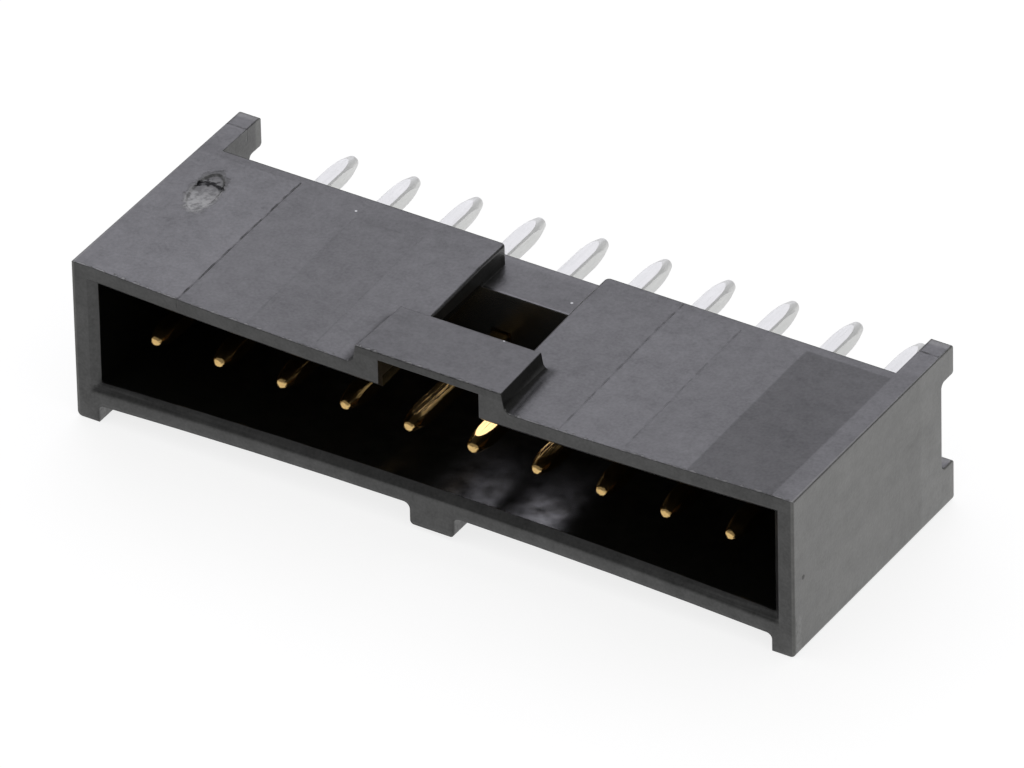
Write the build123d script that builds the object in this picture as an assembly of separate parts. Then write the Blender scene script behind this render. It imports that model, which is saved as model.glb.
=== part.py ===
from build123d import *

import os

# Shrouded pin header lying on its side: a keyed moulded housing and square pins pressed through its base.
# X runs along the row, Y from the mouth back to the solder tails and Z up from the table, in millimetres.
# Pieces are built with the mouth at Y = 0 and then moved together, so that the origin is under the middle.

# Row of pins
positions = 10
pitch = 2.54
end_margin = 2.89  # last pin's axis to the outer face of the end wall

# Square pin with rounded edges, turned to a bullet point at both ends
pin_width = 0.64
pin_across_edges = 0.82  # diameter over two opposite rounded edges
mating_tip_width = 0.40
mating_taper = 1.1
mating_setback = 0.62  # pin tip behind the mouth
tail_tip_width = 0.38
tail_taper = 1.3
tail_reach = 2.78  # tail tip beyond the board seating plane
nose_round = 0.14  # rounding of both tips

# Shroud and base
wall = 0.80
end_wall = 0.89
cavity_height = 4.10
cavity_depth = 6.66
base_depth = 2.06
wall_setback = 0.39  # rear edge of the long walls in front of the base's rear face
top_round = 0.10  # upper edges of the long wall at its rear and along the window
pin_rise = 2.15  # pin axis above the cavity's lower face
lead_in = 0.28  # bevel round the inside of the mouth
bow_top = 0.32  # how far the moulded long walls pull in at the middle of the mouth
bow_bottom = 0.34
hole_funnel = 0.08  # how much wider the pin holes open towards the cavity, on each side
funnel_depth = 0.15

# End walls, their ears and feet
foot_drop = 0.70  # foot below the underside of the shroud
notch_setback = 1.17  # end wall behind the base, between the ears
ear_reach = 0.80  # ears behind the notch: they seat on the board
upper_ear_height = 1.16
lower_ear_height = 1.67
upper_root_round = 0.20
lower_root_round = 0.20
ear_tip_round = 0.12
end_draft = 0.06  # outer faces of the end walls lean in by this much from the mouth to the ears
end_round = 0.05  # outer edges of the end walls
foot_round = 0.20  # lower outer edge
foot_root_round = 0.22

# Key slot, the strap that bridges it and the latch window behind
slot_width = 4.0
bridge_width = 6.04
bridge_lean = 0.13  # each side of the bridge leans in by this much at its crown
bridge_draft = 0.11  # and by this much more from the mouth to its rear
bridge_rise = 0.76
bridge_depth = 2.78
bridge_root_round = 0.30
strap_thickness = 0.30
crown_round = 0.03  # edges of the bridge's crown
recess_corner_round = 0.20  # upright corners where the recess opens at the rear

# Rib under the middle of the mouth
rib_width = 1.74
rib_lift = 0.20  # its lower face above the table
rib_root_round = 0.25
rib_tip_round = 0.15

# Mark left by the moulding gate
gate_from_end = 1.71
gate_from_mouth = 5.83
gate_length = 2.36
gate_width = 1.10
gate_angle = 98
gate_depth = 0.06
gate_slope = 0.10

overrun = 0.5  # how far cutting shapes run past the faces they cut

# Worked out from the sizes above
row_length = (positions - 1) * pitch
half_length = row_length / 2 + end_margin
cavity_half = half_length - end_wall
cavity_low = foot_drop + wall
cavity_high = cavity_low + cavity_height
shroud_top = cavity_high + wall
pin_height = cavity_low + pin_rise
base_rear = cavity_depth + base_depth
wall_rear = base_rear - wall_setback
notch_y = base_rear + notch_setback
seat_y = notch_y + ear_reach
tail_end = seat_y + tail_reach
pin_places = [index * pitch - row_length / 2 for index in range(positions)]


def bow_left(bow, y):
    """What is left of a long wall's bow at depth y: all at the mouth and none at the cavity's floor."""
    return bow * (1 - y / cavity_depth)


def long_side(half_width, height, y, bow):
    """One long side of a section at depth y, pulled in by bow at its middle."""
    ends = (-half_width, y, height), (half_width, y, height)
    if bow == 0:
        return Line(*ends)
    return ThreePointArc(ends[0], (0, y, height + bow), ends[1])


def section(half_width, low, high, y):
    """Cross-section of the shroud or of its cavity at depth y."""
    lower = long_side(half_width, low, y, bow_left(bow_bottom, y))
    upper = long_side(half_width, high, y, -bow_left(bow_top, y))
    left = Line(lower @ 0, upper @ 0)
    right = Line(lower @ 1, upper @ 1)
    return make_face([lower, right, upper, left])


def bowed_form(half_width, low, high):
    """Form from the bowed section at the mouth to the straight one at the cavity's floor."""
    return loft([section(half_width, low, high, y) for y in (0, cavity_depth)], ruled=True)


def block(x_low, x_high, y_low, y_high, z_low, z_high):
    """Rectangular block between two corners."""
    size = x_high - x_low, y_high - y_low, z_high - z_low
    return Pos(x_low, y_low, z_low) * Box(*size, align=(Align.MIN, Align.MIN, Align.MIN))


def shroud_body():
    """Long walls, bowed at the mouth, with the base between them, still solid inside."""
    bowed = bowed_form(cavity_half, foot_drop, shroud_top)
    straight = block(-cavity_half, cavity_half, cavity_depth, wall_rear, foot_drop, shroud_top)
    base = block(-cavity_half, cavity_half, cavity_depth, base_rear, cavity_low, cavity_high)
    return bowed + straight + base


def ear_profile():
    """Side view of an end wall: its lower edge is a foot, and two ears at the rear stand on the board."""
    upper_root = shroud_top - upper_ear_height
    rear = [
        (seat_y, 0),
        (seat_y, lower_ear_height),
        (notch_y, lower_ear_height),
        (notch_y, upper_root),
        (seat_y, upper_root),
        (seat_y, shroud_top),
    ]
    side = make_face(Polyline((0, 0), *rear, (0, shroud_top), close=True))
    in_notch = side.vertices().filter_by_position(Axis.X, notch_y, notch_y).sort_by(Axis.Y)
    side = fillet(in_notch[0], lower_root_round)
    in_notch = side.vertices().filter_by_position(Axis.Y, upper_root, upper_root).sort_by(Axis.X)
    side = fillet(in_notch[0], upper_root_round)
    tips = side.vertices().filter_by_position(Axis.X, seat_y, seat_y).sort_by(Axis.Y)
    return fillet(tips[1:], ear_tip_round)


def end_front():
    """Front view of the right half, as far as the end wall's outer face with its rounded lower edge."""
    corners = (0, 0, 0), (half_length, 0, 0), (half_length, 0, shroud_top), (0, 0, shroud_top)
    front = make_face(Polyline(*corners, close=True))
    outer_corners = front.vertices().filter_by_position(Axis.X, half_length, half_length)
    return fillet(outer_corners.sort_by(Axis.Z)[0], foot_round)


def end_plate():
    """Right end wall: what the side view and the front view, run back along the draft, have in common."""
    side = extrude(Plane.YZ.offset(cavity_half) * ear_profile(), end_wall)
    run = Vector(-end_draft, seat_y, 0)
    plate = side & extrude(end_front(), amount=run.length, dir=run.normalized())
    outer_face = plate.faces().sort_by(Axis.X)[-1]
    return fillet(outer_face.edges().sort_by(Axis.Z)[1:], end_round)


def cavity():
    """Space that the mating connector enters, with the bevel round its mouth."""
    deep = lead_in + overrun
    mouth = section(cavity_half + lead_in, cavity_low - lead_in, cavity_high + lead_in, 0)
    inside = section(cavity_half - overrun, cavity_low + overrun, cavity_high - overrun, deep)
    return bowed_form(cavity_half, cavity_low, cavity_high) + loft([mouth, inside], ruled=True)


def bridge():
    """Block over the key slot: its crown is level, and its sides lean in upwards and towards the rear."""
    z_root = shroud_top - bow_top - wall / 2
    z_foot = shroud_top - bow_top
    z_crown = z_foot + bridge_rise

    def outline(y, draft):
        foot = bridge_width / 2 - draft
        crown = foot - bridge_lean
        right = (foot, y, z_root), (foot, y, z_foot), (crown, y, z_crown)
        left = (-crown, y, z_crown), (-foot, y, z_foot), (-foot, y, z_root)
        return make_face(Polyline(*right, *left, close=True))

    body = loft([outline(0, 0), outline(bridge_depth, bridge_draft)], ruled=True)
    crown = body.faces().sort_by(Axis.Z)[-1]
    return fillet(crown.edges(), crown_round)


def key_slot():
    """Slot from the mouth to the window, roofed by the strap, and the window open above it."""
    half = slot_width / 2
    low = (cavity_low + cavity_high) / 2
    roof = shroud_top - bow_top + bridge_rise - strap_thickness
    under_strap = block(-half, half, -overrun, bridge_depth + overrun, low, roof)
    window = block(-half, half, bridge_depth, cavity_depth, low, shroud_top + overrun)
    return under_strap + window


def rear_recess():
    """Recess behind the window, level with the cavity's ceiling and open at the rear."""
    half = slot_width / 2
    rear = base_rear + overrun
    return block(-half, half, cavity_depth - overrun, rear, cavity_high, shroud_top + overrun)


def rib():
    """Rib under the middle of the shroud."""
    half = rib_width / 2
    bar = block(-half, half, 0, wall_rear, rib_lift, cavity_low - wall / 2)
    lower_edges = bar.edges().filter_by(Axis.Y).sort_by(Axis.Z)[:2]
    return fillet(lower_edges, rib_tip_round)


def pin_hole():
    """Square through hole that a pin is pressed into, with a funnel at the cavity's floor."""
    middle = cavity_depth + base_depth / 2
    through = Pos(0, middle, 0) * Box(pin_width, base_depth + 2 * overrun, pin_width)
    front = Plane(origin=(0, cavity_depth, 0), z_dir=(0, 1, 0))
    wide = front * Rectangle(pin_width + 2 * hole_funnel, pin_width + 2 * hole_funnel)
    narrow = front.offset(funnel_depth) * Rectangle(pin_width, pin_width)
    return through + loft([wide, narrow], ruled=True)


def gate_mark():
    """Shallow dished ellipse that the moulding gate left in the top face."""
    centre = Pos(gate_from_end - half_length, gate_from_mouth, shroud_top) * Rot(0, 0, gate_angle)

    def outline(rise, growth):
        return centre * Pos(0, 0, rise) * Ellipse(gate_length / 2 + growth, gate_width / 2 + growth)

    rims = outline(gate_depth, gate_slope), outline(0, 0), outline(-gate_depth, -gate_slope)
    return loft(rims, ruled=True)


def soften_roots(body, x_range, z_range, radius):
    """Rounds the inner corners that run back from the mouth, left and right, within two ranges."""
    near = 0.05

    def is_root(edge):
        box = edge.bounding_box()
        beside = all(x_range[0] - near < abs(x) < x_range[1] + near for x in (box.min.X, box.max.X))
        between = box.min.Z > z_range[0] - near and box.max.Z < z_range[1] + near
        return beside and between and box.size.Y > radius

    return fillet(body.edges().filter_by(is_root), radius)


def soften_recess(body):
    """Rounds the recess's upright corners, then the wall's upper edges at the rear and along the window."""
    near = 0.01
    half = slot_width / 2
    upright = body.edges().filter_by(Axis.Z)
    rear = upright.filter_by_position(Axis.Y, wall_rear - near, wall_rear + near)
    corners = rear.filter_by(lambda edge: abs(abs(edge.center().X) - half) < near)
    body = fillet(corners, recess_corner_round)

    def is_upper(edge):
        box = edge.bounding_box()
        reach = max(abs(box.min.X), abs(box.max.X))
        behind = box.min.Y > bridge_depth - near and box.max.Y < wall_rear + near
        on_wall = reach < cavity_half + near and box.min.Z > shroud_top - bow_top - near
        beside = reach < half + recess_corner_round + near
        return behind and on_wall and (beside or box.min.Y > wall_rear - near)

    return fillet(body.edges().filter_by(is_upper), top_round)


def housing():
    """The whole moulding."""
    plate = end_plate()
    body = shroud_body() + plate + mirror(plate, about=Plane.YZ) + rib() + bridge()
    rib_side = rib_width / 2
    bridge_side = bridge_width / 2
    body = soften_roots(body, (cavity_half, cavity_half), (foot_drop, foot_drop), foot_root_round)
    body = soften_roots(body, (rib_side, rib_side), (foot_drop, foot_drop + bow_bottom), rib_root_round)
    beside_bridge = bridge_side - bridge_draft - bridge_lean, bridge_side
    body = soften_roots(body, beside_bridge, (shroud_top - bow_top, shroud_top), bridge_root_round)
    body -= cavity()
    body -= key_slot()
    body -= rear_recess()
    body -= [Pos(x, 0, pin_height) * pin_hole() for x in pin_places]
    body -= gate_mark()
    return soften_recess(body)


def pin():
    """Pin on the Y axis: a square bar inside a turned form with a bullet point at each end."""
    side = pin_width / 2
    edge = pin_across_edges / 2
    mating = mating_tip_width / 2
    tail = tail_tip_width / 2
    shoulder = mating_setback + mating_taper
    waist = tail_end - tail_taper
    profile = make_face(
        [
            Line((0, mating_setback), (mating, mating_setback)),
            TangentArc((edge, shoulder), (mating, mating_setback), tangent=(0, -1)),
            Line((edge, shoulder), (edge, waist)),
            TangentArc((edge, waist), (tail, tail_end), tangent=(0, 1)),
            Line((tail, tail_end), (0, tail_end)),
            Line((0, tail_end), (0, mating_setback)),
        ]
    )
    tips = profile.vertices().filter_by(lambda corner: tail / 2 < corner.X < side)
    turned = revolve(fillet(tips, nose_round), Axis.Y)
    return turned & block(-side, side, mating_setback, tail_end, -side, side)


def write(node, shape):
    """Moves a piece from the building position to the part's origin and writes it."""
    export_step(Pos(0, -tail_end / 2, 0) * shape, f"parts/{node}.step")


os.makedirs("parts", exist_ok=True)
write("housing", housing())
for number, place in enumerate(pin_places, start=1):
    write(f"pin_{number:02d}", Pos(place, 0, pin_height) * pin())
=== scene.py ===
"""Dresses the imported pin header: a black moulded housing and square pins plated with gold and with tin.

Every object is in metres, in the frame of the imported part: X runs along the row, Y from the open mouth back
to the solder tails, and Z up from the table. Sizes in the classes below are in millimetres, and `mm` turns
them to metres. A place on a finish is in millimetres too, with y counted from the mouth.
"""
import logging
import math
from dataclasses import dataclass
from enum import Enum

import bpy
import numpy as np
from mathutils import Matrix, Vector


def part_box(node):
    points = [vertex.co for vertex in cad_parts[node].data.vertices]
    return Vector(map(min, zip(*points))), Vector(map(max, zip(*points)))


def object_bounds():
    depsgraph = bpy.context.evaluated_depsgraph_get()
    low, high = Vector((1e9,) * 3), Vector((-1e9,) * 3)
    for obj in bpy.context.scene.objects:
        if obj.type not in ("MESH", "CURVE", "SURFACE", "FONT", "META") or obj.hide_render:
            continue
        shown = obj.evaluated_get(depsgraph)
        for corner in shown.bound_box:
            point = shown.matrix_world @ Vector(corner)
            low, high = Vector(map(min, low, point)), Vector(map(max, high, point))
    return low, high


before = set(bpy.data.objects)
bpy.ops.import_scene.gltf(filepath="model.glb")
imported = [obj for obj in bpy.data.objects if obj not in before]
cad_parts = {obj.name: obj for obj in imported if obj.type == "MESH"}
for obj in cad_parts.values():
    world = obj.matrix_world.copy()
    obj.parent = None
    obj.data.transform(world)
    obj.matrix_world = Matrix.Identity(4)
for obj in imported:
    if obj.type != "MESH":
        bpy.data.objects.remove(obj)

LOG = logging.getLogger("pin_header")
CAD_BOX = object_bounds()
MM_PER_METRE = 1000.0

Colour = tuple[float, float, float]
Scale = tuple[float, float, float]
Border = tuple[float, float]
Socket = bpy.types.NodeSocket
Number = float | Socket


def mm(length: float) -> float:
    """Millimetres as metres."""
    return length / MM_PER_METRE


def mouth_y() -> float:
    """Place of the mouth's plane along Y, in millimetres."""
    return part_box("housing")[0].y * MM_PER_METRE


class Operation(Enum):
    """The sums that a pattern is made of, with Blender's names for them."""

    ADD = "ADD"
    SUBTRACT = "SUBTRACT"
    MULTIPLY = "MULTIPLY"
    LARGER = "MAXIMUM"
    SIZE = "ABSOLUTE"
    ROOT = "SQRT"
    REMAINDER = "WRAP"


@dataclass(frozen=True)
class Place:
    """The point on a piece in millimetres, as one vector and as its parts, with y counted from the mouth."""

    point: Socket
    x: Socket
    y: Socket
    z: Socket


class Graph:
    """The nodes of one material or world, added with short calls."""

    pattern_mean = 0.5
    bevel_samples = 6

    def __init__(self, owner: bpy.types.Material | bpy.types.World) -> None:
        """Empties the owner's nodes.

        Args:
            owner: The new material or world.
        """
        self.owner = owner
        owner.use_nodes = True
        self.nodes = owner.node_tree.nodes
        self.links = owner.node_tree.links
        self.nodes.clear()

    def node(self, kind: str, **inputs: object) -> bpy.types.Node:
        """Adds a node and fills its inputs.

        Args:
            kind: Blender's name of the node type.
            **inputs: Value or socket for each input, by its name with underscores for spaces.

        Returns:
            The new node.
        """
        made = self.nodes.new(kind)
        for name, value in inputs.items():
            self.feed(made.inputs[name.replace("_", " ")], value)
        return made

    def feed(self, socket: Socket, value: object) -> None:
        """Links a socket to another or sets its value.

        Args:
            socket: The input to fill.
            value: A socket to link from, or the value to set.
        """
        if isinstance(value, Socket):
            self.links.new(value, socket)
        else:
            socket.default_value = value

    def sum(self, operation: Operation, *values: Number) -> Socket:
        """One sum on up to three values.

        Args:
            operation: What is worked out.
            *values: The numbers or sockets that it works on.

        Returns:
            The socket with the result.
        """
        made = self.nodes.new("ShaderNodeMath")
        made.operation = operation.value
        for socket, value in zip(made.inputs, values):
            self.feed(socket, value)
        return made.outputs[0]

    def add(self, *values: Number) -> Socket:
        """All values added up.

        Args:
            *values: At least two numbers or sockets.

        Returns:
            The socket with the total.
        """
        total = values[0]
        for value in values[1:]:
            total = self.sum(Operation.ADD, total, value)
        return total

    def times(self, *values: Number) -> Socket:
        """All values multiplied.

        Args:
            *values: At least two numbers or sockets.

        Returns:
            The socket with the product.
        """
        product = values[0]
        for value in values[1:]:
            product = self.sum(Operation.MULTIPLY, product, value)
        return product

    def swing(self, pattern: Socket, *widths: Number) -> Socket:
        """A random pattern that is moved to lie about 0 and then made wider or narrower.

        Args:
            pattern: The pattern from noise.
            *widths: What it is multiplied by.

        Returns:
            The socket with the moved pattern.
        """
        return self.times(self.add(pattern, -self.pattern_mean), *widths)

    def at_least(self, least: float, share: Socket) -> Socket:
        """A share from 0 to 1, squeezed to run from least to 1.

        Args:
            least: What a share of 0 becomes.
            share: The share.

        Returns:
            The socket with the squeezed share.
        """
        return self.add(least, self.times(share, 1.0 - least))

    def ramp(self, value: Number, start: float, end: float) -> Socket:
        """A smooth step: 0 where value is at start and 1 where it is at end, level beyond both.

        Args:
            value: What the step follows.
            start: Where the step begins.
            end: Where it is complete. It may be below start.

        Returns:
            The socket with the step.
        """
        rising = start < end
        made = self.node(
            "ShaderNodeMapRange",
            Value=value,
            From_Min=min(start, end),
            From_Max=max(start, end),
            To_Min=0.0 if rising else 1.0,
            To_Max=1.0 if rising else 0.0,
        )
        made.interpolation_type = "SMOOTHSTEP"
        return made.outputs["Result"]

    def between(self, value: Number, low: float, high: float, soft: float) -> Socket:
        """1 between two values and 0 outside them, with soft borders.

        Args:
            value: What the band follows.
            low: The lower border.
            high: The upper border.
            soft: Width of each border.

        Returns:
            The socket with the band.
        """
        rise = self.ramp(value, low - soft / 2, low + soft / 2)
        fall = self.ramp(value, high + soft / 2, high - soft / 2)
        return self.times(rise, fall)

    def place(self) -> Place:
        """The point on the piece that is being coloured.

        Returns:
            Its sockets.
        """
        where = self.nodes.new("ShaderNodeTexCoord").outputs["Object"]
        scale, shift = (MM_PER_METRE, MM_PER_METRE, MM_PER_METRE), (0.0, -mouth_y(), 0.0)
        point = self.node("ShaderNodeMapping", Vector=where, Scale=scale, Location=shift).outputs["Vector"]
        return Place(point, *self.node("ShaderNodeSeparateXYZ", Vector=point).outputs)

    def noise(self, point: Socket, per_mm: float, detail: float) -> Socket:
        """Smooth random pattern.

        Args:
            point: Place in millimetres.
            per_mm: Number of waves in a millimetre.
            detail: How many finer layers are added.

        Returns:
            The socket with a value about 0.5.
        """
        return self.node("ShaderNodeTexNoise", Vector=point, Scale=per_mm, Detail=detail).outputs["Fac"]

    def streaks(self, point: Socket, per_mm: Scale, detail: float) -> Socket:
        """Smooth random pattern that is drawn out along one axis or two.

        Args:
            point: Place in millimetres.
            per_mm: Number of waves in a millimetre along X, Y and Z.
            detail: How many finer layers are added.

        Returns:
            The socket with a value about 0.5.
        """
        drawn_out = self.node("ShaderNodeMapping", Vector=point, Scale=per_mm).outputs["Vector"]
        return self.noise(drawn_out, 1.0, detail)

    def blend(self, share: Number, first: Colour | Socket, second: Colour | Socket) -> Socket:
        """Mixes two colours.

        Args:
            share: How much of the second colour there is.
            first: Colour or socket.
            second: Colour or socket.

        Returns:
            The socket with the mixed colour.
        """
        made = self.nodes.new("ShaderNodeMix")
        made.data_type = "RGBA"
        self.feed(made.inputs["Factor"], share)
        colour_inputs = [socket for socket in made.inputs if socket.type == "RGBA"]
        for socket, value in zip(colour_inputs, (first, second)):
            self.feed(socket, (*value, 1.0) if isinstance(value, tuple) else value)
        return next(socket for socket in made.outputs if socket.type == "RGBA")

    def rounded(self, radius: Number) -> Socket:
        """The normal of the surface with its sharp edges rounded.

        Args:
            radius: How far the rounding reaches, in millimetres.

        Returns:
            The socket with the normal.
        """
        made = self.node("ShaderNodeBevel", Radius=self.times(radius, mm(1.0)))
        made.samples = self.bevel_samples
        return made.outputs["Normal"]

    def bump(self, height: Number, normal: Socket | None = None, share: Number = 1.0) -> Socket:
        """Turns a height in millimetres into a bent normal.

        Args:
            height: The surface's height above its mesh.
            normal: The normal that it starts from, where that isn't the mesh's own.
            share: How much of the bend is taken.

        Returns:
            The socket with the normal.
        """
        made = self.node("ShaderNodeBump", Height=height, Distance=mm(1.0), Strength=share)
        if normal is not None:
            self.feed(made.inputs["Normal"], normal)
        return made.outputs["Normal"]

    def upward(self) -> Socket:
        """How far the piece's surface faces up: 1 on level tops, 0 on upright sides."""
        facing = self.nodes.new("ShaderNodeTexCoord").outputs["Normal"]
        return self.node("ShaderNodeSeparateXYZ", Vector=facing).outputs["Z"]

    def surface(self, shader: Socket) -> bpy.types.Material:
        """Ends the graph of a material with its shader.

        Args:
            shader: The socket of the surface's shader.

        Returns:
            The finished material.
        """
        self.node("ShaderNodeOutputMaterial", Surface=shader)
        return self.owner


def linear(colour: Colour) -> Colour:
    """A colour of 0 to 255 as it is seen, turned to Blender's linear values.

    Args:
        colour: Red, green and blue from 0 to 255.

    Returns:
        Linear red, green and blue from 0 to 1: a straight part near black and a power of 2.4 above it.
    """
    share = np.array(colour) / 255
    curve = np.where(share <= 0.04045, share / 12.92, ((share + 0.055) / 1.055) ** 2.4)
    return tuple(float(value) for value in curve)


@dataclass(frozen=True)
class Mottle:
    """A random pattern all over the plastic, and how much of it goes into each value of the surface.

    per_mm is the number of waves in a millimetre, and detail the number of finer layers. tone is the
    pattern's share in the blend of the deep and the light colour. roughness and height count outside the
    cavity only. shine is how much the reflections swing.
    """

    per_mm: float
    detail: float
    tone: float
    roughness: float
    shine: float
    height: float


@dataclass(frozen=True)
class Cavity:
    """The polished faces that the mould's core shaped: all that lies within a box round the cavity.

    half is half the box's length along the row. floor is the soft border of the cavity's floor, from above.
    """

    half: float = 13.5
    start: float = 0.27
    end: float = 6.75
    low: float = 1.2
    high: float = 5.75
    soft: float = 0.02
    floor: Border = (2.9, 2.6)

    def mark(self, graph: Graph, place: Place) -> Socket:
        """Where the cavity is.

        Args:
            graph: The material's nodes.
            place: The point on the housing.

        Returns:
            The socket that is 1 inside the cavity and 0 outside.
        """
        across = graph.between(place.x, -self.half, self.half, self.soft)
        along = graph.between(place.y, self.start, self.end, self.soft)
        return graph.times(across, along, graph.between(place.z, self.low, self.high, self.soft))


@dataclass(frozen=True)
class Lip:
    """The worn lower lip of the mouth. It is rounder than other edges, and long streaks run along it.

    back and top are its soft borders behind and above. streaks is the waves in a millimetre along each axis,
    and the streaks take shine away where they are below streak_mean.
    """

    back: Border = (0.5, 0.4)
    top: Border = (1.7, 1.4)
    radius: float = 0.18
    streaks: Scale = (0.25, 9.0, 9.0)
    streak_detail: float = 3.0
    streak_mean: float = 0.36
    streak_start: Border = (0.03, 0.08)
    shine: float = 1.0

    def mark(self, graph: Graph, place: Place) -> Socket:
        """Where the lip is.

        Args:
            graph: The material's nodes.
            place: The point on the housing.

        Returns:
            The socket that is 1 on the lower lip and 0 elsewhere.
        """
        return graph.times(graph.ramp(place.y, *self.back), graph.ramp(place.z, *self.top))

    def streaked(self, graph: Graph, place: Place, lip: Socket) -> Socket:
        """What the streaks add to the shine.

        Args:
            graph: The material's nodes.
            place: The point on the housing.
            lip: Where the lip is.

        Returns:
            The socket with the added shine.
        """
        streaks = graph.add(graph.streaks(place.point, self.streaks, self.streak_detail), -self.streak_mean)
        return graph.times(streaks, lip, graph.ramp(place.y, *self.streak_start), self.shine)


@dataclass(frozen=True)
class PaintedCornerShade:
    """The hollow corners on both sides of the bridge, where the reflections are dimmed as painted shade of
    the bridge's side.

    start and end are borders by the distance from the middle of the row, on either side of it.
    """

    start: Border = (2.93, 2.96)
    end: Border = (3.55, 3.2)
    front: Border = (0.02, 0.08)
    back: Border = (3.05, 2.7)
    bottom: Border = (5.5, 5.6)

    def mark(self, graph: Graph, place: Place) -> Socket:
        """Where the corners are.

        Args:
            graph: The material's nodes.
            place: The point on the housing.

        Returns:
            The socket that is 1 in a corner and 0 elsewhere.
        """
        away = graph.sum(Operation.SIZE, place.x)
        across = graph.times(graph.ramp(away, *self.start), graph.ramp(away, *self.end))
        along = graph.times(graph.ramp(place.y, *self.front), graph.ramp(place.y, *self.back))
        return graph.times(across, along, graph.ramp(place.z, *self.bottom))


@dataclass(frozen=True)
class Chips:
    """The nicked front edge of the top face: chips reach back from the mouth by an uneven amount.

    edge is the border behind the mouth before the pattern moves it by up to half of reach. bottom is the
    height from which there are chips, and facing says how far up a face has to look. share is a chip's
    paleness.
    """

    per_mm: float = 6.0
    detail: float = 4.0
    reach: float = 0.6
    edge: Border = (0.045, 0.015)
    bottom: Border = (5.25, 5.35)
    facing: Border = (0.4, 0.7)
    depth: float = 0.012
    colour: Colour = (112, 112, 110)
    share: float = 0.45

    def mark(self, graph: Graph, place: Place) -> Socket:
        """Where the chips are.

        Args:
            graph: The material's nodes.
            place: The point on the housing.

        Returns:
            The socket that is 1 on a chip and 0 elsewhere.
        """
        uneven = graph.swing(graph.noise(place.point, self.per_mm, self.detail), -self.reach)
        face = graph.times(graph.ramp(place.z, *self.bottom), graph.ramp(graph.upward(), *self.facing))
        return graph.times(graph.ramp(graph.add(place.y, uneven), *self.edge), face)


@dataclass(frozen=True)
class SideDustAndPaintedSheen:
    """The outer sides of the end walls and the tips of the ears, which are paler: painted sheen where these
    faces mirror the bright table, with smears of dust.

    sides is a border by the distance from the middle of the row, and tips one behind the mouth. smear is the
    waves of the smears in a millimetre along each axis, and smear_least and smear_width say how strong the
    smears are.
    """

    # Paler grey of dust smears and of painted sheen on the end sides and ear tips.
    colour: Colour = (82, 82, 79)
    sides: Border = (14.18, 14.24)
    tips: Border = (10.25, 10.45)
    # Ear tips get more, as painted sheen.
    tip_dust_and_painted_sheen: float = 1.5
    smear: Scale = (1.1, 0.4, 1.3)
    smear_detail: float = 5.0
    smear_least: float = 0.35
    smear_width: float = 0.8

    def mark(self, graph: Graph, place: Place) -> Socket:
        """How strong the dust and the painted sheen are.

        Args:
            graph: The material's nodes.
            place: The point on the housing.

        Returns:
            The socket that is 0 where the plastic has neither.
        """
        sides = graph.ramp(graph.sum(Operation.SIZE, place.x), *self.sides)
        tips = graph.times(graph.ramp(place.y, *self.tips), self.tip_dust_and_painted_sheen)
        smeared = graph.times(graph.streaks(place.point, self.smear, self.smear_detail), self.smear_width)
        return graph.times(graph.sum(Operation.LARGER, sides, tips), graph.add(self.smear_least, smeared))


@dataclass(frozen=True)
class WitnessLine:
    """A fine straight line on the top face, where two parts of the mould met.

    x_low to x_high and y_low to y_high are its ends. One pair is alike, because a line runs along the row or
    straight back. strength says how clear it is.
    """

    x_low: float
    x_high: float
    y_low: float
    y_high: float
    strength: float


@dataclass(frozen=True)
class Grooves:
    """All witness lines together. They waver by up to half of wobble and fade to fade_least in places.

    clear is the stretch of the random pattern over which a line gets clear. share is a clear line's darkness.
    """

    width: float = 0.05
    depth: float = 0.015
    breaks_per_mm: float = 2.2
    break_detail: float = 4.0
    wobble: float = 0.06
    clear: Border = (0.4, 0.6)
    fade_least: float = 0.35
    roughness: float = 0.15
    share: float = 0.8
    lines: tuple[WitnessLine, ...] = (
        WitnessLine(-10.05, -10.05, 0.0, 7.9, 1.0),
        WitnessLine(-8.7, -8.7, 0.4, 7.9, 0.12),
        WitnessLine(-7.3, -7.3, 0.4, 7.9, 0.22),
        WitnessLine(-7.3, -5.2, 7.05, 7.05, 0.22),
        WitnessLine(-4.66, -4.66, 0.4, 7.6, 0.25),
        WitnessLine(5.12, 5.12, 0.1, 8.3, 0.55),
        WitnessLine(7.61, 7.61, 0.3, 7.8, 0.4),
        WitnessLine(-14.2, -13.4, 9.8, 9.8, 0.6),
        WitnessLine(13.5, 14.2, 9.8, 9.8, 0.6),
    )

    def mark(self, graph: Graph, place: Place) -> Socket:
        """Where the lines are.

        Args:
            graph: The material's nodes.
            place: The point on the housing.

        Returns:
            The socket that is the line's strength on a line and 0 beside it.
        """
        half, soft = self.width / 2, self.width
        breaks = graph.noise(place.point, self.breaks_per_mm, self.break_detail)
        wobble = graph.swing(breaks, self.wobble)
        x, y = graph.add(place.x, wobble), graph.add(place.y, wobble)
        marks = []
        for line in self.lines:
            across = graph.between(x, line.x_low - half, line.x_high + half, soft)
            along = graph.between(y, line.y_low - half, line.y_high + half, soft)
            marks.append(graph.times(across, along, line.strength))
        clear = graph.at_least(self.fade_least, graph.ramp(breaks, *self.clear))
        return graph.times(graph.add(*marks), clear)


@dataclass(frozen=True)
class Zone:
    """A stretch of the top face that one mould insert shaped, with its own gloss.

    start and end are its borders along the row, and roughness is what it adds to the plastic's own.
    """

    start: float
    end: float
    roughness: float


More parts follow.
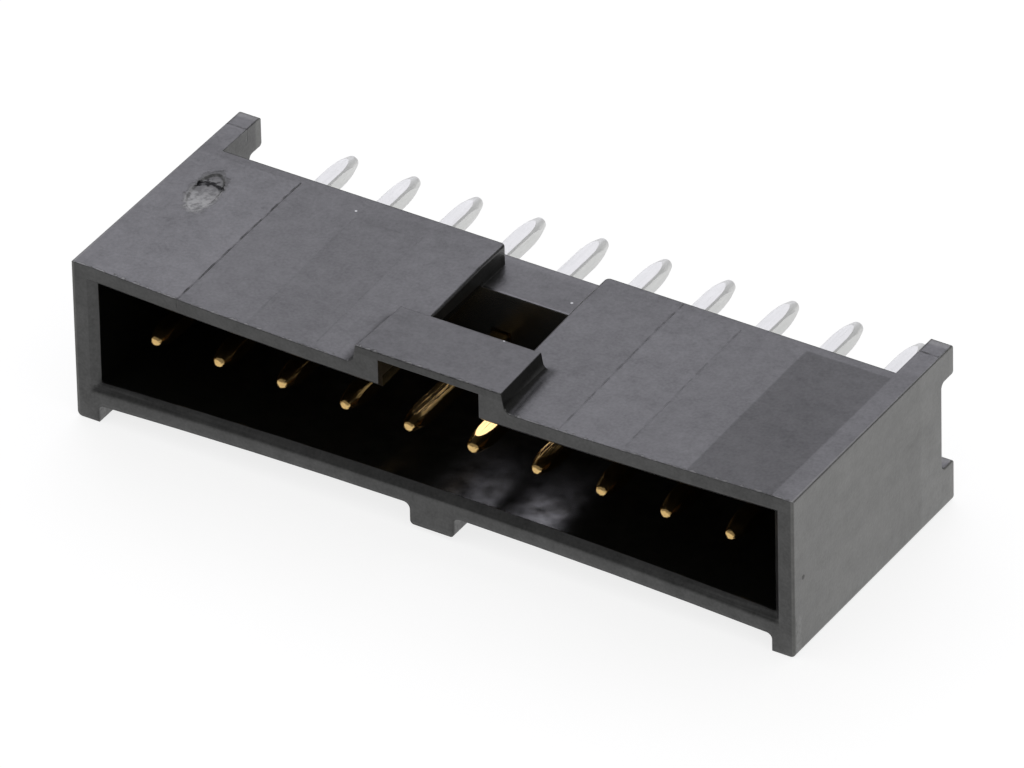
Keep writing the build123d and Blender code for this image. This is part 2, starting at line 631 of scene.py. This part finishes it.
@dataclass(frozen=True)
class Inserts:
    """The zones of the top face, which all end behind at back."""

    soft: float = 0.08
    back: Border = (7.93, 7.85)
    zones: tuple[Zone, ...] = (
        Zone(-14.4, -10.05, -0.05),
        Zone(-7.3, -4.66, 0.02),
        Zone(5.12, 7.61, -0.02),
        Zone(10.15, 13.46, 0.1),
    )

    def roughness(self, graph: Graph, place: Place) -> Socket:
        """What the zones add to the roughness.

        Args:
            graph: The material's nodes.
            place: The point on the housing.

        Returns:
            The socket with the sum over all zones.
        """
        parts = []
        for zone in self.zones:
            parts.append(graph.times(graph.between(place.x, zone.start, zone.end, self.soft), zone.roughness))
        return graph.times(graph.add(*parts), graph.ramp(place.y, *self.back))


@dataclass(frozen=True)
class Scar:
    """The torn mark of the moulding gate: an ellipse of pale, frayed plastic with a painted shade near its
    far end.

    turn is the angle of its long axis from the row, in degrees. front, rim and the painted shade are measured
    on its own axes, where the rim lies at 1 and the long axis runs from -1 in front to 1 behind. The torn
    pattern moves each of them by its own factor. The painted shade stands for the shade on the dish's far
    wall and bends forwards at both ends. The plastic is paler to the front, where painted light stands for
    the lit near side of the dish, and in patches of whitened torn plastic where the torn pattern is high.
    """

    x: float = -12.61
    y: float = 5.83
    half_length: float = 1.18
    half_width: float = 0.55
    turn: float = 98.0
    torn_per_mm: float = 4.2
    torn_detail: float = 5.0
    height: float = 0.03
    roughness: float = 0.2
    # Pale torn plastic; towards the front it also stands for painted light on the dish's near side.
    pale: Colour = (150, 150, 150)
    pale_least: float = 0.3
    patches: Border = (0.38, 0.6)
    # Painted light: the scar gets paler towards its front, where the dish's near side faces the lamp.
    front: Border = (1.25, -0.3)
    front_torn: float = 0.8
    rim: Border = (1.25, 0.95)
    rim_torn: float = 0.9
    # Where the painted shade of the dish's far wall lies.
    shade_start: float = 0.4
    shade_end: float = 0.64
    shade_soft: float = 0.14
    shade_torn: float = 0.7
    shade_bend: float = 0.25
    shade_rim: Border = (1.1, 0.95)

    def marks(self, graph: Graph, place: Place) -> tuple[Socket, Socket, Socket, Socket]:
        """Where the scar is, and where it is pale or carries its painted shade.

        The place is turned to the ellipse's own axes and divided by its half axes. The root of the sum of
        squares is then 1 on the rim.

        Args:
            graph: The material's nodes.
            place: The point on the housing.

        Returns:
            Sockets that are 1 inside the rim, on pale plastic and in the painted shade, and the torn pattern.
        """
        cosine, sine = math.cos(math.radians(self.turn)), math.sin(math.radians(self.turn))
        across, along = graph.add(place.x, -self.x), graph.add(place.y, -self.y)
        first, second = (
            graph.add(graph.times(across, right / half), graph.times(along, back / half))
            for right, back, half in ((cosine, sine, self.half_length), (-sine, cosine, self.half_width))
        )
        bend = graph.times(second, second)
        reach = graph.sum(Operation.ROOT, graph.add(graph.times(first, first), bend))
        torn = graph.noise(place.point, self.torn_per_mm, self.torn_detail)
        ragged = graph.add(reach, graph.swing(torn, self.rim_torn))
        inside = graph.ramp(ragged, *self.rim)
        # Painted light: paler towards the front, where the dish's near side faces the lamp.
        front = graph.ramp(graph.add(first, graph.times(torn, self.front_torn)), *self.front)
        patches = graph.ramp(torn, *self.patches)
        pale = graph.times(inside, *(graph.at_least(self.pale_least, share) for share in (front, patches)))
        depth = graph.add(first, graph.swing(torn, self.shade_torn), graph.times(bend, self.shade_bend))
        # Painted shade: the crescent where the dish's far wall lies in shade.
        gap = graph.between(depth, self.shade_start, self.shade_end, self.shade_soft)
        return inside, pale, graph.times(graph.ramp(ragged, *self.shade_rim), gap), torn


@dataclass(frozen=True)
class Speck:
    """A grain of dust or a tiny pit on the plastic, at x, y and z."""

    x: float
    y: float
    z: float
    radius: float


@dataclass(frozen=True)
class Specks:
    """Specks of one kind. Each is clear within core of its radius and fades out to its rim."""

    specks: tuple[Speck, ...]
    core: float = 0.6

    def mark(self, graph: Graph, place: Place) -> Socket:
        """Where the specks are.

        Args:
            graph: The material's nodes.
            place: The point on the housing.

        Returns:
            The socket that is 1 on a speck and 0 elsewhere.
        """
        marks = []
        for speck in self.specks:
            apart = graph.nodes.new("ShaderNodeVectorMath")
            apart.operation = "DISTANCE"
            graph.feed(apart.inputs[0], place.point)
            graph.feed(apart.inputs[1], (speck.x, speck.y, speck.z))
            marks.append(graph.ramp(apart.outputs["Value"], speck.radius, self.core * speck.radius))
        return graph.add(*marks)


@dataclass(frozen=True)
class Skin:
    """What the layers of the housing's finish share.

    mottles holds each mottle with its pattern. torn is the scar's pattern. Every other socket is 1 where the
    mark of its name is and 0 elsewhere.
    """

    place: Place
    mottles: tuple[tuple[Mottle, Socket], ...]
    torn: Socket
    inside: Socket
    outside: Socket
    floor: Socket
    top: Socket
    lip: Socket
    groove: Socket
    chipped: Socket
    scar: Socket
    pale: Socket
    gap: Socket


@dataclass(frozen=True)
class HousingFinish:
    """Black filled plastic: satin outside with mould lines and the torn gate, smooth inside and deeper black
    there, partly from the polished finish and partly as painted shade of the cavity.

    Each shine is the strength of reflections, where 0.5 is what the index of refraction gives. Borders are
    heights, apart from ears and ear_edges, which lie behind the mouth. The three radii say how far edges are
    rounded: the ears' and the lip's are added to the one of all edges.
    """

    deep: Colour = (18, 18, 17)
    light: Colour = (26, 26, 25)
    # Deeper black of the cavity: partly the polished core's own tone, partly painted shade of the recess.
    core: Colour = (11, 11, 9)
    # Dark of the witness lines, and painted shade at the scar's far end.
    groove_dark_and_painted_shade: Colour = (5, 5, 5)
    dust: Colour = (205, 205, 208)
    roughness: float = 0.31
    core_roughness: float = 0.24
    ior: float = 1.85
    shine: float = 0.5
    # Dimmer reflections on the cavity floor: painted shade of the recess.
    floor_painted_shade_shine: float = 0.26
    # Dimmer reflections in the corners beside the bridge: painted shade.
    corner_painted_shade_shine: float = 0.16
    pit_and_painted_shade_shine: float = 0.08
    ear_shine: float = 0.61
    crown_shine: float = 0.43
    floor_mottle: float = 3.5
    top: Border = (5.85, 5.95)
    crown: Border = (6.5, 6.6)
    ears: Border = (8.3, 8.6)
    ear_edges: Border = (9.7, 10.0)
    edge_radius: float = 0.045
    ear_radius: float = 0.08
    wave_per_mm: float = 0.9
    wave_detail: float = 1.0
    wave_height: float = 0.014
    cloud: Mottle = Mottle(per_mm=0.4, detail=3.0, tone=0.4, roughness=0.05, shine=0.5, height=0.0)
    blotch: Mottle = Mottle(per_mm=1.6, detail=3.0, tone=0.3, roughness=0.06, shine=0.6, height=0.012)
    grain: Mottle = Mottle(per_mm=9.0, detail=2.0, tone=0.3, roughness=0.0, shine=0.6, height=0.006)
    cavity: Cavity = Cavity()
    lip: Lip = Lip()
    # painted shade in the corners beside the bridge
    corners: PaintedCornerShade = PaintedCornerShade()
    chips: Chips = Chips()
    side_dust_and_painted_sheen: SideDustAndPaintedSheen = SideDustAndPaintedSheen()
    grooves: Grooves = Grooves()
    inserts: Inserts = Inserts()
    scar: Scar = Scar()
    specks: Specks = Specks((
        Speck(-7.5, 7.42, 6.4, 0.055),
        Speck(1.34, 2.74, 6.82, 0.05),
        Speck(1.18, 7.35, 5.6, 0.06),
    ))
    pits: Specks = Specks((
        Speck(14.31, 0.6, 3.0, 0.12),
        Speck(14.22, 5.0, 6.0, 0.07),
        Speck(-13.7, 1.9, 5.9, 0.05),
    ))

    def make(self) -> bpy.types.Material:
        """Builds the plastic.

        Returns:
            The material.
        """
        graph = Graph(bpy.data.materials.new("housing_plastic"))
        skin = self.skin(graph)
        shader = graph.node(
            "ShaderNodeBsdfPrincipled",
            Base_Color=self.coloured(graph, skin),
            Roughness=self.roughened(graph, skin),
            IOR=self.ior,
            Specular_IOR_Level=self.shining(graph, skin),
            Normal=graph.bump(self.raised(graph, skin), self.edged(graph, skin)),
        )
        return graph.surface(shader.outputs["BSDF"])

    def skin(self, graph: Graph) -> Skin:
        """Works out what the layers share.

        Args:
            graph: The material's nodes.

        Returns:
            The sockets.
        """
        place = graph.place()
        mottles = []
        for mottle in (self.cloud, self.blotch, self.grain):
            mottles.append((mottle, graph.noise(place.point, mottle.per_mm, mottle.detail)))
        top = graph.ramp(place.z, *self.top)
        inside = self.cavity.mark(graph, place)
        scar, pale, gap, torn = self.scar.marks(graph, place)
        return Skin(
            place=place,
            mottles=tuple(mottles),
            torn=torn,
            inside=inside,
            outside=graph.sum(Operation.SUBTRACT, 1.0, inside),
            floor=graph.times(inside, graph.ramp(place.z, *self.cavity.floor)),
            top=top,
            lip=self.lip.mark(graph, place),
            groove=graph.times(self.grooves.mark(graph, place), top),
            chipped=self.chips.mark(graph, place),
            scar=graph.times(scar, top),
            pale=graph.times(pale, top),
            gap=graph.times(gap, top),
        )

    def coloured(self, graph: Graph, skin: Skin) -> Socket:
        """The colour, from the plastic's own to the dust on it, with painted shade in the cavity and at the
        scar's far end, and painted light on the end sides, the ear tips and the scar's near side.

        Args:
            graph: The material's nodes.
            skin: What the layers share.

        Returns:
            The socket with the colour.
        """
        tone = graph.add(*(graph.times(pattern, mottle.tone) for mottle, pattern in skin.mottles))
        colour = graph.blend(tone, linear(self.deep), linear(self.light))
        for share, layer in (
            # dust smears and painted sheen on the end sides and ear tips
            (self.side_dust_and_painted_sheen.mark(graph, skin.place), self.side_dust_and_painted_sheen.colour),
            (graph.times(skin.chipped, self.chips.share), self.chips.colour),
            # Deeper black in the cavity, partly painted shade of the recess.
            (skin.inside, self.core),
            (graph.times(skin.groove, self.grooves.share), self.groove_dark_and_painted_shade),
            # pale torn plastic, with painted light towards the scar's front
            (skin.pale, self.scar.pale),
            # painted shade at the scar's far end
            (skin.gap, self.groove_dark_and_painted_shade),
            (self.specks.mark(graph, skin.place), self.dust),
        ):
            colour = graph.blend(share, colour, linear(layer))
        return colour

    def roughened(self, graph: Graph, skin: Skin) -> Socket:
        """The roughness: satin outside, smoother in the cavity, and duller on the scar and the lines.

        Args:
            graph: The material's nodes.
            skin: What the layers share.

        Returns:
            The socket with the roughness.
        """
        patterns = [graph.times(pattern, mottle.roughness) for mottle, pattern in skin.mottles]
        zones = graph.times(self.inserts.roughness(graph, skin.place), skin.top)
        return graph.add(
            self.core_roughness,
            graph.times(skin.outside, self.roughness - self.core_roughness),
            graph.times(skin.outside, graph.add(*patterns, zones)),
            graph.times(skin.scar, self.scar.roughness),
            graph.times(skin.groove, self.grooves.roughness),
        )

    def shining(self, graph: Graph, skin: Skin) -> Socket:
        """The strength of reflections, which carries most of the texture because the plastic is black. It is
        lowered as painted shade on the cavity floor, in the corners beside the bridge and at the scar's far
        end.

        Args:
            graph: The material's nodes.
            skin: What the layers share.

        Returns:
            The socket with the strength.
        """
        place = skin.place
        patterns = dict(skin.mottles)
        shine = graph.add(self.shine, self.lip.streaked(graph, place, skin.lip))
        for share, level in (
            # painted shade: the cavity floor reflects less
            (skin.floor, self.floor_painted_shade_shine),
            # painted shade: the corners beside the bridge reflect less
            (self.corners.mark(graph, place), self.corner_painted_shade_shine),
            # real pits, and the painted shade at the scar's far end, reflect less
            (graph.sum(Operation.LARGER, skin.gap, self.pits.mark(graph, place)), self.pit_and_painted_shade_shine),
            (graph.ramp(place.y, *self.ears), self.ear_shine),
            (graph.ramp(place.z, *self.crown), self.crown_shine),
        ):
            shine = graph.add(shine, graph.times(share, level - self.shine))
        texture = graph.add(1.0, *(graph.swing(pattern, mottle.shine) for mottle, pattern in skin.mottles))
        mottled = graph.add(1.0, graph.swing(patterns[self.blotch], skin.floor, self.floor_mottle))
        return graph.times(shine, texture, mottled)

    def raised(self, graph: Graph, skin: Skin) -> Socket:
        """The fine relief: the plastic's grain, the marks, and slow waves in the cavity.

        Args:
            graph: The material's nodes.
            skin: What the layers share.

        Returns:
            The socket with the height in millimetres.
        """
        waves = graph.noise(skin.place.point, self.wave_per_mm, self.wave_detail)
        return graph.add(
            *(graph.times(pattern, skin.outside, mottle.height) for mottle, pattern in skin.mottles),
            graph.times(skin.groove, -self.grooves.depth),
            graph.times(skin.chipped, -self.chips.depth),
            graph.times(waves, skin.inside, self.wave_height),
            graph.times(skin.scar, skin.torn, self.scar.height),
        )

    def edged(self, graph: Graph, skin: Skin) -> Socket:
        """The normal with rounded edges, which are rounder at the ears' tips and the lower lip.

        Args:
            graph: The material's nodes.
            skin: What the layers share.

        Returns:
            The socket with the normal.
        """
        ears = graph.times(graph.ramp(skin.place.y, *self.ear_edges), self.ear_radius)
        return graph.rounded(graph.add(self.edge_radius, graph.times(skin.lip, self.lip.radius), ears))


@dataclass(frozen=True)
class PinFinish:
    """Plating of a pin: gold on the end that mates, bright tin on the tail, changing inside the base.

    wear is the streaks' share in the pattern of wear, and clouds take the rest. The pin's end, in front of
    tip, is dented, and it falls away from the axis by dome times the squared distance from it.
    """

    gold: Colour = (255, 219, 152)
    worn_gold: Colour = (232, 190, 120)
    tin: Colour = (246, 246, 245)
    worn_tin: Colour = (228, 229, 227)
    gold_roughness: float = 0.13
    tin_roughness: float = 0.42
    streak_roughness: float = 0.08
    gold_metallic: float = 1.0
    tin_metallic: float = 0.45
    change: Border = (7.6, 7.8)
    streaks: Scale = (14.0, 0.5, 14.0)
    streak_detail: float = 3.0
    streak_height: float = 0.016
    cloud_per_mm: float = 1.5
    cloud_detail: float = 3.0
    wear: float = 0.5
    pitch: float = 2.54
    tip: Border = (0.78, 0.68)
    dome: float = 0.8
    dents_per_mm: float = 4.0
    dent_detail: float = 2.0
    dent_height: float = 0.05

    def make(self) -> bpy.types.Material:
        """Builds the plating.

        Returns:
            The material.
        """
        graph = Graph(bpy.data.materials.new("pin_plating"))
        place = graph.place()
        streak = graph.streaks(place.point, self.streaks, self.streak_detail)
        cloud = graph.noise(place.point, self.cloud_per_mm, self.cloud_detail)
        tinned = graph.ramp(place.y, *self.change)
        worn = graph.add(graph.times(cloud, 1.0 - self.wear), graph.times(streak, self.wear))
        gold = graph.blend(worn, linear(self.gold), linear(self.worn_gold))
        tin = graph.blend(worn, linear(self.tin), linear(self.worn_tin))
        dents = graph.times(graph.noise(place.point, self.dents_per_mm, self.dent_detail), self.dent_height)
        domed = graph.add(dents, graph.times(self.off_axis(graph, place), -self.dome))
        drawn = graph.bump(graph.times(streak, self.streak_height))
        metal = graph.times(tinned, self.tin_metallic - self.gold_metallic)
        shader = graph.node(
            "ShaderNodeBsdfPrincipled",
            Base_Color=graph.blend(tinned, gold, tin),
            Metallic=graph.add(self.gold_metallic, metal),
            Roughness=graph.add(
                self.gold_roughness,
                graph.times(tinned, self.tin_roughness - self.gold_roughness),
                graph.times(streak, self.streak_roughness),
            ),
            Normal=graph.bump(domed, drawn, graph.ramp(place.y, *self.tip)),
        )
        return graph.surface(shader.outputs["BSDF"])

    def off_axis(self, graph: Graph, place: Place) -> Socket:
        """The square of the distance from the axis of the pin that a point is on.

        The pins stand half a pitch from the middle, so x divided by the pitch leaves half a pitch on an axis.

        Args:
            graph: The material's nodes.
            place: The point on the pin.

        Returns:
            The socket with the squared distance.
        """
        low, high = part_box("pin_01")
        across = graph.add(graph.sum(Operation.REMAINDER, place.x, self.pitch, 0.0), -self.pitch / 2)
        upward = graph.add(place.z, -(low.z + high.z) / 2 * MM_PER_METRE)
        return graph.add(graph.times(across, across), graph.times(upward, upward))


@dataclass(frozen=True)
class TableFinish:
    """White table: plain white to the camera, with a soft shadow of the object.

    The camera sees glow plus what the paper adds where light reaches it, which together make white.
    Reflections see a white pool round the object. It falls to dark across pool, a border by the distance from
    the mouth. The object shades it in front: before lit, a border along Y, it is dimmer by the factor shaded.
    """

    paper: float = 0.8
    paper_seen: float = 0.27
    glow: float = 0.79
    shaded: float = 0.68
    lit: Border = (-3.0, 4.0)
    dark: float = 0.2
    pool: Border = (110.0, 60.0)

    def make(self) -> bpy.types.Material:
        """Builds the table's white.

        Returns:
            The material.
        """
        graph = Graph(bpy.data.materials.new("table_white"))
        path = graph.nodes.new("ShaderNodeLightPath").outputs
        mirrored = graph.sum(Operation.LARGER, path["Is Glossy Ray"], path["Is Transmission Ray"])
        seen = path["Is Camera Ray"]
        level = graph.add(
            self.paper, graph.times(seen, self.paper_seen - self.paper), graph.times(mirrored, -self.paper)
        )
        grey = graph.node("ShaderNodeCombineColor", Red=level, Green=level, Blue=level)
        paper = graph.node("ShaderNodeBsdfDiffuse", Color=grey.outputs["Color"])
        place = graph.place()
        away = graph.sum(
            Operation.ROOT, graph.add(graph.times(place.x, place.x), graph.times(place.y, place.y))
        )
        pool = graph.at_least(self.dark, graph.ramp(away, *self.pool))
        lit = graph.at_least(self.shaded, graph.ramp(place.y, *self.lit))
        strength = graph.add(graph.times(seen, self.glow), graph.times(mirrored, pool, lit))
        glow = graph.node("ShaderNodeEmission", Strength=strength)
        both = graph.nodes.new("ShaderNodeAddShader")
        graph.feed(both.inputs[0], paper.outputs[0])
        graph.feed(both.inputs[1], glow.outputs[0])
        return graph.surface(both.outputs[0])


@dataclass
class Housing:
    """The moulded housing."""

    finish: HousingFinish = HousingFinish()
    node: str = "housing"

    def dress(self) -> None:
        """Gives the moulding its plastic."""
        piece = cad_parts[self.node]
        piece.data.materials.clear()
        piece.data.materials.append(self.finish.make())
        LOG.info("dressed %s", self.node)


@dataclass
class PinRow:
    """The square pins that are pressed through the housing's base."""

    finish: PinFinish = PinFinish()

    def names(self) -> list[str]:
        """Names of the pins, in order along the row."""
        return sorted(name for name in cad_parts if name.startswith("pin_"))

    def dress(self) -> None:
        """Gives every pin its plating."""
        plating = self.finish.make()
        for name in self.names():
            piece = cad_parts[name]
            piece.data.materials.clear()
            piece.data.materials.append(plating)
            LOG.info("dressed %s", name)


@dataclass
class Table:
    """The surface that the header lies on."""

    half_width: float = 3000.0
    finish: TableFinish = TableFinish()

    def build(self) -> None:
        """Makes the table top: a flat square at the height of the part's lowest point."""
        half = mm(self.half_width)
        height = CAD_BOX[0].z
        corners = [(-half, -half, height), (half, -half, height), (half, half, height), (-half, half, height)]
        mesh = bpy.data.meshes.new("table_top")
        mesh.from_pydata(corners, [], [(0, 1, 2, 3)])
        mesh.materials.append(self.finish.make())
        table = bpy.data.objects.new("table_top", mesh)
        bpy.context.scene.collection.objects.link(table)


def outward(azimuth: float, elevation: float) -> Vector:
    """The direction from the object to where a lamp or the camera stands.

    Args:
        azimuth: Angle about the upright axis in degrees: 0 before the mouth, 90 beyond the row's right end.
        elevation: Angle above the level, in degrees.

    Returns:
        The direction, with a length of 1.
    """
    turn, rise = math.radians(azimuth), math.radians(elevation)
    return Vector((math.sin(turn) * math.cos(rise), -math.cos(turn) * math.cos(rise), math.sin(rise)))


@dataclass(frozen=True)
class Lamp:
    """A soft lamp. azimuth and elevation say where it stands, seen from the object, in degrees.

    brightness is what a mirror would show of it, where 1 is white.
    """

    name: str
    azimuth: float
    elevation: float
    distance: float
    width: float
    height: float
    brightness: float
    colour: Colour

    def build(self, middle: Vector) -> None:
        """Hangs the lamp and turns it to the object.

        Its power is brightness times pi times its area.

        Args:
            middle: The point that it faces, in metres.
        """
        data = bpy.data.lights.new(self.name, "AREA")
        data.shape = "RECTANGLE"
        data.size, data.size_y = mm(self.width), mm(self.height)
        data.energy = self.brightness * math.pi * data.size * data.size_y
        data.color = self.colour
        lamp = bpy.data.objects.new(self.name, data)
        out = outward(self.azimuth, self.elevation)
        lamp.location = middle + out * mm(self.distance)
        lamp.rotation_mode = "QUATERNION"
        lamp.rotation_quaternion = (-out).to_track_quat("-Z", "Y")
        bpy.context.scene.collection.objects.link(lamp)


@dataclass
class Studio:
    """World and lamps: even white light, a room that is darker overhead, and a broad soft lamp at the back.

    The room is white below the horizon and as bright as overhead above it. rise is the border between the
    two, by the height of a direction whose length is 1.
    """

    white: float = 1.0
    fill: float = 0.75
    overhead: float = 0.2
    rise: Border = (-0.1, 0.0)
    lamps: tuple[Lamp, ...] = (
        Lamp("back_lamp", 212.0, 41.0, 300.0, 260.0, 150.0, 1.9, (0.91, 0.895, 1.0)),
    )

    def build(self) -> None:
        """Makes the world and hangs the lamps.

        The camera sees white, reflections see the room, and everything else gets the fill.
        """
        world = bpy.data.worlds.new("studio")
        bpy.context.scene.world = world
        graph = Graph(world)
        path = graph.nodes.new("ShaderNodeLightPath").outputs
        direction = graph.nodes.new("ShaderNodeTexCoord").outputs["Generated"]
        height = graph.node("ShaderNodeSeparateXYZ", Vector=direction).outputs["Z"]
        dimming = graph.times(graph.ramp(height, *self.rise), self.overhead - self.white)
        strength = self.fill
        for ray, level in (
            ("Is Glossy Ray", graph.add(self.white, dimming)),
            ("Is Transmission Ray", self.white),
            ("Is Camera Ray", self.white),
        ):
            strength = graph.node("ShaderNodeMix", Factor=path[ray], A=strength, B=level).outputs["Result"]
        white = (self.white, self.white, self.white, 1.0)
        background = graph.node("ShaderNodeBackground", Color=white, Strength=strength)
        graph.node("ShaderNodeOutputWorld", Surface=background.outputs["Background"])
        low, high = CAD_BOX
        for lamp in self.lamps:
            lamp.build((low + high) / 2)


@dataclass(frozen=True)
class PhotoCamera:
    """The camera at the photograph's viewing angle.

    It was fitted to the even pitch of the pins and to the housing's straight edges. Angles are in degrees,
    the distance is from the aim to the lens, and aim is the point looked at before the picture is centred.
    The camera sees what lies from near to far.
    """

    azimuth: float = 32.338
    elevation: float = 34.732
    roll: float = -1.337
    distance: float = 549.8
    focal_pixels: float = 16189.0
    picture_width: int = 1024
    sensor: float = 36.0
    near: float = 10.0
    far: float = 20000.0
    aim_behind_mouth: float = 4.5
    aim_height: float = 4.22
    aim_right: float = 0.435
    aim_up: float = -0.55

    def build(self) -> None:
        """Makes the camera: its axes are right, up and back, turned about the line of sight by the roll."""
        back, roll = outward(self.azimuth, self.elevation), math.radians(self.roll)
        level = (-back).cross(Vector((0, 0, 1))).normalized()
        upright = level.cross(-back)
        right = math.cos(roll) * level + math.sin(roll) * upright
        up = -math.sin(roll) * level + math.cos(roll) * upright
        aim = Vector((0, mm(mouth_y() + self.aim_behind_mouth), mm(self.aim_height)))
        aim += right * mm(self.aim_right) + up * mm(self.aim_up)
        data = bpy.data.cameras.new("photo_camera")
        data.sensor_width = self.sensor
        data.lens = self.focal_pixels * self.sensor / self.picture_width
        data.clip_start, data.clip_end = mm(self.near), mm(self.far)
        camera = bpy.data.objects.new("photo_camera", data)
        turned = Matrix((right, up, back)).transposed().to_4x4()
        camera.matrix_world = Matrix.Translation(aim + back * mm(self.distance)) @ turned
        bpy.context.scene.collection.objects.link(camera)
        bpy.context.scene.camera = camera


def main() -> None:
    """Builds the scene: camera, light and table, then the finish of each sub-assembly."""
    logging.basicConfig(level=logging.INFO)
    bpy.context.scene.view_settings.view_transform = "Standard"
    PhotoCamera().build()
    Studio().build()
    Table().build()
    Housing().dress()
    PinRow().dress()


if __name__ == "__main__":
    main()
